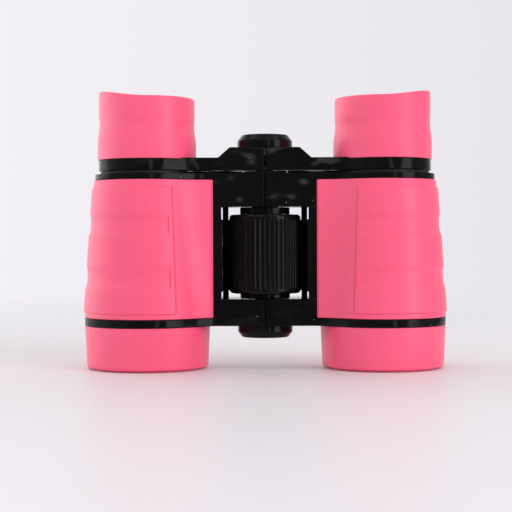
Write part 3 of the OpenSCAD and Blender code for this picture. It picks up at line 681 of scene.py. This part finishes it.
def eyecup_form():
    rim_r = cup_r - cup_draft
    mouth_r = rim_r - cup_wall
    side_rows = stations(draw_z, (wall_z, 24), (cup_h - 1.2 * cup_round, 4))
    shape = turned(
        [(cup_bore, 0), (cup_r, 0, cup_foot_round)]
        + [(cup_side(height), height) for height in side_rows]
        + [(rim_r, cup_h, cup_round), (mouth_r, cup_h, cup_lip)]
        + [(mouth_r - mouth_draft * share, between(share, cup_h - 1.1 * cup_lip, cup_floor + mouth_foot))
           for share in stations(0, (1, 8))]
        + [(cup_floor_r + floor_slope_r, cup_floor + floor_slope_h), (cup_floor_r, cup_floor + floor_lip_h),
           (cup_floor_r, cup_floor), (cup_bore, cup_floor)],
        steps=144)
    for vert in shape.verts:
        radius = math.hypot(vert.co.x, vert.co.y)
        inside = radius < cup_bore + 2 * skin
        start, end = (cup_floor, cup_h - cup_lip) if inside else (0, cup_h - cup_round)
        share = min(1, max(0, (vert.co.z - start) / (end - start)))
        vert.co.z += cup_low.z + cup_wing * share * max(0, vert.co.x / radius) ** wing_fall
    return shape


for side in SIDES:
    add_piece(f"{side}_rubber_eyecup", on_barrel(eyecup_form(), side), pink_rubber,
              f"{side}_eyecup")


# Studio: a pale floor with a soft sheen that runs out into a pale surround, one large soft lamp to the
# right of the camera, and a brighter left side. Glossy black mirrors a room that is dim in front and pale
# behind, with a soft panel where the lamp hangs and two narrow strips in front.
image_size = 512
focal_px = 1321
sensor_width = 36
camera_distance = 408 * MM
camera_roll = math.radians(-0.2)
camera_height = 39.4 * MM
aim = Vector((-2.79 * MM, 0, 34.39 * MM))
softbox_place = Vector((0.75, -0.62, 0.35))
softbox_aim = Vector((0, 0, 0.04))
softbox_width, softbox_height = 0.6, 0.7
softbox_power = 4.7
floor_size = 1.6
floor_full_r, floor_end_r = 0.12, 0.6
floor_front, floor_front_end = -0.2, -0.3
mirrored_front, mirrored_front_end = -0.05, -0.15
floor_tint = (0.79, 0.765, 0.805, 1)
surround_left = (0.90, 0.875, 0.92, 1)
surround_right = (0.81, 0.785, 0.835, 1)
fill_left_front = 1.5
fill_left_back = 3.4
fill_right = 0.64
fill_back = 1.4
fill_above = 0.85
room_left = ((-180, 0.7), (-139, 1.3), (-117, 1.7), (-100, 1.1), (-75, 0.45), (-45, 0.15), (-15, 0.06))
room_strip = ((14, 0.06), (16, 1.6), (19, 1.6), (21, 0.1), (36, 0.1))
room_panel = ((43, 2.7), (62, 2.7), (71, 0.2))
room_right = ((105, 0.2), (131, 0.4), (150, 0.7), (180, 0.7))
front_strip = ((0.13, 0), (0.15, 3), (0.18, 3), (0.2, 0))
ceiling = ((0.2, 0), (0.5, 0.3), (0.8, 0.3), (0.9, 1.3), (0.97, 0.5))

camera_data = bpy.data.cameras.new("camera")
camera_data.sensor_width = sensor_width
camera_data.lens = focal_px / image_size * sensor_width
camera_data.clip_start = 10 * MM
camera = bpy.data.objects.new("camera", camera_data)
bpy.context.scene.collection.objects.link(camera)
camera.location = (0, -camera_distance, camera_height)
look = (aim - camera.location).to_track_quat("-Z", "Y")
camera.rotation_euler = (look.to_matrix() @ Matrix.Rotation(camera_roll, 3, "Z")).to_euler()
bpy.context.scene.camera = camera

softbox_data = bpy.data.lights.new("key_softbox", "AREA")
softbox_data.shape = "RECTANGLE"
softbox_data.size = softbox_width
softbox_data.size_y = softbox_height
softbox_data.energy = softbox_power
softbox = bpy.data.objects.new("key_softbox", softbox_data)
softbox.location = softbox_place
softbox.rotation_euler = (softbox_aim - softbox_place).to_track_quat("-Z", "Y").to_euler()
softbox.visible_camera = False
softbox.visible_glossy = False
bpy.context.scene.collection.objects.link(softbox)

floor = bmesh.new()
bmesh.ops.create_circle(floor, cap_ends=True, segments=96, radius=floor_size)
floor_mesh = bpy.data.meshes.new("floor")
floor.to_mesh(floor_mesh)
floor.free()
floor_piece = bpy.data.objects.new("floor", floor_mesh)
bpy.context.scene.collection.objects.link(floor_piece)
floor_finish, tree, shader, place = new_finish(
    "pale_floor", Base_Color=floor_tint, Roughness=0.42, Specular_IOR_Level=0.22)
distance = add_node(tree, "ShaderNodeVectorMath", {"operation": "LENGTH"})
tree.links.new(place, distance.inputs[0])
ahead = add_node(tree, "ShaderNodeSeparateXYZ", Vector=place)
path = tree.nodes.new("ShaderNodeLightPath")
near = add_node(tree, "ShaderNodeMapRange", Value=path.outputs["Is Glossy Ray"],
                To_Min=floor_front, To_Max=mirrored_front)
far = add_node(tree, "ShaderNodeMapRange", Value=path.outputs["Is Glossy Ray"],
               To_Min=floor_front_end, To_Max=mirrored_front_end)
front = add_node(tree, "ShaderNodeMapRange", Value=ahead.outputs["Y"],
                 From_Min=near.outputs["Result"], From_Max=far.outputs["Result"])
around = ramp(tree, distance.outputs["Value"], (floor_full_r, grey(0)), (floor_end_r, grey(1)))
fade = add_node(tree, "ShaderNodeMath", {"operation": "MAXIMUM"})
tree.links.new(around, fade.inputs[0])
tree.links.new(front.outputs["Result"], fade.inputs[1])
clear = tree.nodes.new("ShaderNodeBsdfTransparent")
blend = add_node(tree, "ShaderNodeMixShader", Fac=fade.outputs["Value"])
tree.links.new(shader.outputs["BSDF"], blend.inputs[1])
tree.links.new(clear.outputs["BSDF"], blend.inputs[2])
tree.links.new(blend.outputs["Shader"], tree.nodes["Material Output"].inputs["Surface"])
floor_mesh.materials.append(floor_finish)

world = bpy.data.worlds.new("surround")
bpy.context.scene.world = world
world.use_nodes = True
tree = world.node_tree
backdrop = tree.nodes["Background"]
direction = tree.nodes.new("ShaderNodeTexCoord").outputs["Generated"]
parts = add_node(tree, "ShaderNodeSeparateXYZ", Vector=direction)
path = tree.nodes.new("ShaderNodeLightPath")


def spread(axis, start, end, first, second):
    """A colour that goes over from one to another along an axis of the surround."""
    share = add_node(tree, "ShaderNodeMapRange", Value=parts.outputs[axis], From_Min=start, From_Max=end)
    return mix_colours(tree, share.outputs["Result"], first, second)


def lighter(first, second):
    """The lighter of two colours."""
    both = add_node(tree, "ShaderNodeMix", {"data_type": "RGBA", "blend_type": "LIGHTEN"})
    both.inputs[0].default_value = 1
    tree.links.new(first, both.inputs[6])
    tree.links.new(second, both.inputs[7])
    return both.outputs[2]


seen = add_node(tree, "ShaderNodeMath", {"operation": "MAXIMUM"})
tree.links.new(path.outputs["Is Camera Ray"], seen.inputs[0])
tree.links.new(path.outputs["Is Transmission Ray"], seen.inputs[1])
left_side = spread("Y", -0.5, 0.3, grey(fill_left_front), grey(fill_left_back))
open_sides = spread("X", -1, -0.2, left_side, spread("Y", 0, 0.8, grey(fill_right), grey(fill_back)))
fill = mix_colours(tree, parts.outputs["Z"], open_sides, grey(fill_above))
bearing = add_node(tree, "ShaderNodeMath", {"operation": "ARCTAN2"})
behind = add_node(tree, "ShaderNodeMath", {"operation": "MULTIPLY"})
tree.links.new(parts.outputs["Y"], behind.inputs[0])
behind.inputs[1].default_value = -1
tree.links.new(parts.outputs["X"], bearing.inputs[0])
tree.links.new(behind.outputs["Value"], bearing.inputs[1])
turn = add_node(tree, "ShaderNodeMapRange", Value=bearing.outputs["Value"],
                From_Min=-math.pi, From_Max=math.pi)
room = room_left + room_strip + room_panel + room_right
walls = ramp(tree, turn.outputs["Result"], *((0.5 + angle / 360, grey(level)) for angle, level in room))
above, strip = (ramp(tree, parts.outputs["Z"], *((height, grey(level)) for height, level in levels))
                for levels in (ceiling, front_strip))
walls_and_ceiling = lighter(spread("Z", 0.5, 0.85, walls, grey(0)), above)
glow = lighter(walls_and_ceiling, spread("Y", -0.95, -0.8, strip, grey(0)))
lit = mix_colours(tree, path.outputs["Is Glossy Ray"], fill, glow)
surround = spread("X", -0.2, 0.2, surround_left, surround_right)
tree.links.new(mix_colours(tree, seen.outputs["Value"], lit, surround), backdrop.inputs["Color"])

bpy.context.scene.view_settings.view_transform = "Standard"

bpy.context.view_layer.update()
